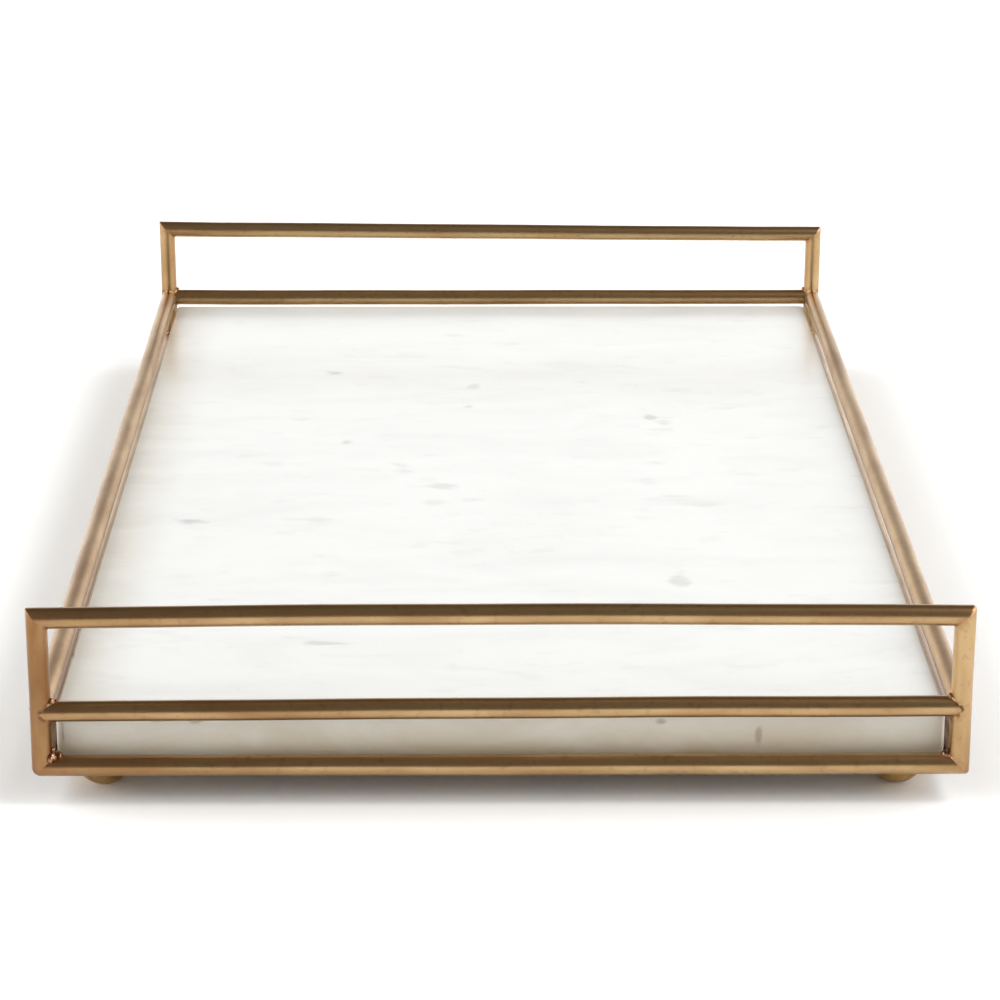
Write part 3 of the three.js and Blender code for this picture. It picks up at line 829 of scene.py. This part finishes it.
# grey spots in the polished face: (x, y, width, length, strength), in millimetres, each 10 mm deep
SPOT_DEPTH = 10
spots = ragged_marks([
    ((x, y, slab_high.z), (width, length, SPOT_DEPTH), strength)
    for x, y, width, length, strength in (
        (-60, 40, 4, 5, 0.7), (-68, 137, 4, 3.5, 0.5), (70, 64, 5, 7, 0.45), (65, 73, 3, 5, 0.5),
        (-116, -57, 9, 3.5, 0.65), (-36, 4, 5, 6, 0.3), (-8, 118, 3, 5, 0.3), (66, -122, 4, 11, 0.3),
        (-67, -57, 7, 6, 0.25), (-20, -15, 6, 4, 0.3), (-24, -36, 5, 4, 0.2), (76, -35, 16, 8, 0.14),
        (-40, 165, 20, 6, 0.12), (30, 150, 26, 7, 0.1), (-10, 89, 2.5, 2.5, 0.4), (-60, -185, 9, 2, 0.4),
    )
])
stone = over(marble_tree, spots, stone, "#a3a4a2")
# a cream-brown tint near the left edge; painted shade over the sides, darker towards the bottom, and along
# the top of the two long edges
LEFT_TINT_REACH = 26
parts = add(marble_tree, "ShaderNodeSeparateXYZ", {0: place}).outputs
# a cream-brown tint at the left edge, fading out over the reach
left_edge_tint = add(marble_tree, "ShaderNodeMapRange", {
    "Value": parts["X"], 1: MM * slab_low.x, 2: MM * (slab_low.x + LEFT_TINT_REACH), 3: 0.45, 4: 0.0,
}, interpolation_type="SMOOTHSTEP").outputs[0]
# the sides go cream-brown and darker towards the bottom: painted shade
side_painted_shade = add(marble_tree, "ShaderNodeMapRange", {
    "Value": parts["Z"], 1: MM * slab_low.z, 2: MM * (slab_high.z - 0.4), 3: 1.0, 4: 0.35,
}).outputs[0]
off_face = add(marble_tree, "ShaderNodeMapRange", {
    "Value": parts["Z"], 1: MM * (slab_high.z - 0.5), 2: MM * (slab_high.z - 0.1), 3: 1.0, 4: 0.0,
}).outputs[0]
side_painted_shade = calc(marble_tree, "MULTIPLY", side_painted_shade, off_face)
tint_mask = calc(marble_tree, "MAXIMUM", left_edge_tint, side_painted_shade)
across = calc(marble_tree, "ABSOLUTE", parts["X"])
# a cream-brown line in the top of the two long edges, beside the rods: painted shade
arris_painted_shade = add(marble_tree, "ShaderNodeMapRange", {
    "Value": across, 1: MM * (slab_high.x - 1.4), 2: MM * (slab_high.x - 0.7), 3: 0.0, 4: 0.9,
}).outputs[0]
near_face = add(marble_tree, "ShaderNodeMapRange", {
    "Value": parts["Z"], 1: MM * (slab_high.z - 1.6), 2: MM * (slab_high.z - 0.8),
}).outputs[0]
arris_painted_shade = calc(marble_tree, "MULTIPLY", arris_painted_shade, near_face)
tint_mask = calc(marble_tree, "MAXIMUM", tint_mask, arris_painted_shade)
patchy = add(marble_tree, "ShaderNodeMapRange", {"Value": cloud, 1: 0.3, 2: 0.62, 3: 0.6, 4: 1.0}).outputs[0]
tint_mask = calc(marble_tree, "MULTIPLY", tint_mask, patchy)
# the left-edge tint and the painted shade of the sides and long edges, laid on in cream-brown
stone = over(marble_tree, tint_mask, stone, "#b2a385")
# brown marks rubbed into the front side: (x, depth under the face, width, height), in millimetres
MARK_DEPTH, MARK_STRENGTH = 2, 0.55
marks = ragged_marks([
    ((x, slab_low.y, slab_high.z - under), (width, MARK_DEPTH, height), MARK_STRENGTH)
    for x, under, width, height in (
        (-112, 2.5, 5, 1.4), (-99, 2.2, 3, 1.6), (-90, 2.0, 6, 1.0), (-78, 3.2, 2, 1.6),
        (52, 4, 2, 1.2), (84, 9, 1.2, 3), (-142.6, 7, 0.5, 6),
    )
])
stone = over(marble_tree, marks, stone, "#8a7460")
# the face is polished, the sides are not
polish = add(marble_tree, "ShaderNodeMapRange", {
    "Value": parts["Z"], 1: MM * (slab_high.z - 0.5), 2: MM * (slab_high.z - 0.05), 3: 0.42, 4: 0.15,
}).outputs[0]
polish = calc(marble_tree, "MULTIPLY_ADD", mottle, 0.08, polish)
relief = calc(marble_tree, "MULTIPLY_ADD", crystal, 0.06, mottle)
bump = add(marble_tree, "ShaderNodeBump", {"Height": relief, "Strength": 0.12, "Distance": 0.00008})
surface = add(marble_tree, "ShaderNodeBsdfPrincipled", {
    "Base Color": stone, "Roughness": polish, "IOR": 1.49, "Normal": bump.outputs[0],
    "Subsurface Weight": 0.12, "Subsurface Radius": (1.0, 0.9, 0.75), "Subsurface Scale": 0.004,
})
add(marble_tree, "ShaderNodeOutputMaterial", {"Surface": surface.outputs[0]})
slab.data.materials.append(MARBLE)
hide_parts("marble_slab")
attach(slab, "slab")

# ---------------------------------------------------------------------------------------------
# Studio. A matt white table, a bright wall behind it, a bright panel on each side, the left one a
# touch brighter, a dark gap between them from in front to overhead, and a softbox high on the right.

HALF_TABLE = 9.0
floor_mesh = bpy.data.meshes.new("studio_table")
floor_corners = [(x * HALF_TABLE, y * HALF_TABLE, 0) for x, y in ((-1, -1), (1, -1), (1, 1), (-1, 1))]
floor_mesh.from_pydata(floor_corners, [], [(0, 1, 2, 3)])
floor = bpy.data.objects.new("studio_table", floor_mesh)
bpy.context.scene.collection.objects.link(floor)
PAPER, paper_tree = new_material("matt_white_paper")
place = add(paper_tree, "ShaderNodeTexCoord").outputs["Object"]
fibre = add(paper_tree, "ShaderNodeTexNoise", {"Vector": place, "Scale": 900.0, "Detail": 2.0}).outputs[0]
tint = over(paper_tree, fibre, "#f9f9f8", "#fdfdfc")
surface = add(paper_tree, "ShaderNodeBsdfPrincipled", {
    "Base Color": tint, "Roughness": 0.9, "Specular IOR Level": 0.1,
})
add(paper_tree, "ShaderNodeOutputMaterial", {"Surface": surface.outputs[0]})
floor_mesh.materials.append(PAPER)

room = bpy.data.worlds.new("studio_room")
bpy.context.scene.world = room
room.use_nodes = True
room_tree = room.node_tree
room_tree.nodes.clear()
towards = add(room_tree, "ShaderNodeTexCoord").outputs["Generated"]
parts = add(room_tree, "ShaderNodeSeparateXYZ", {0: towards}).outputs
low = add(room_tree, "ShaderNodeMapRange", {"Value": parts["Z"], 1: 0.1, 2: 0.62, 3: 1.0, 4: 0.0},
          interpolation_type="SMOOTHSTEP").outputs[0]
behind = add(room_tree, "ShaderNodeMapRange", {"Value": parts["Y"], 1: -0.1, 2: 0.5, 4: 1.3},
             interpolation_type="SMOOTHSTEP").outputs[0]
wall = calc(room_tree, "MULTIPLY", low, behind)
right_panel = add(room_tree, "ShaderNodeMapRange", {"Value": parts["X"], 1: 0.4, 2: 0.62, 4: 2.75},
                  interpolation_type="SMOOTHSTEP").outputs[0]
left_panel = add(room_tree, "ShaderNodeMapRange", {"Value": parts["X"], 1: -0.4, 2: -0.62, 4: 2.95},
                 interpolation_type="SMOOTHSTEP").outputs[0]
panels = calc(room_tree, "ADD", right_panel, left_panel)
bright = calc(room_tree, "MAXIMUM", wall, panels)
glow = add(room_tree, "ShaderNodeBackground", {"Color": (0.955, 0.98, 1.0, 1), "Strength": bright})
gap = add(room_tree, "ShaderNodeBackground", {"Color": (0.115, 0.095, 0.075, 1), "Strength": 1.0})
light = add(room_tree, "ShaderNodeAddShader", {0: glow.outputs[0], 1: gap.outputs[0]})
add(room_tree, "ShaderNodeOutputWorld", {"Surface": light.outputs[0]})

lamp = bpy.data.lights.new("softbox", "AREA")
lamp.shape = "SQUARE"
lamp.size = 0.6
lamp.energy = 11.0
lamp_object = bpy.data.objects.new("softbox", lamp)
lamp_object.location = (1.2, -0.5, 1.75)
lamp_object.rotation_euler = (-lamp_object.location).to_track_quat("-Z", "Y").to_euler()
bpy.context.scene.collection.objects.link(lamp_object)
bpy.context.scene.view_settings.view_transform = "Standard"

# The camera looks along the tray from its front end, a little from above, with a long lens.
pitch, yaw, roll = math.radians(18.81), math.radians(0.587), math.radians(0.105)
forward = Vector((math.sin(yaw) * math.cos(pitch), math.cos(yaw) * math.cos(pitch), -math.sin(pitch)))
right = forward.cross(Vector((0, 0, 1))).normalized()
right = right * math.cos(roll) + right.cross(forward) * math.sin(roll)
above = right.cross(forward)
camera_data = bpy.data.cameras.new("camera")
camera_data.lens = 121.2
camera_data.sensor_width = 36.0
camera = bpy.data.objects.new("camera", camera_data)
facing_tray = Matrix((right, above, -forward)).transposed().to_4x4()
camera.matrix_world = Matrix.Translation((-0.0109, -1.2595, 0.4477)) @ facing_tray
bpy.context.scene.collection.objects.link(camera)
bpy.context.scene.camera = camera
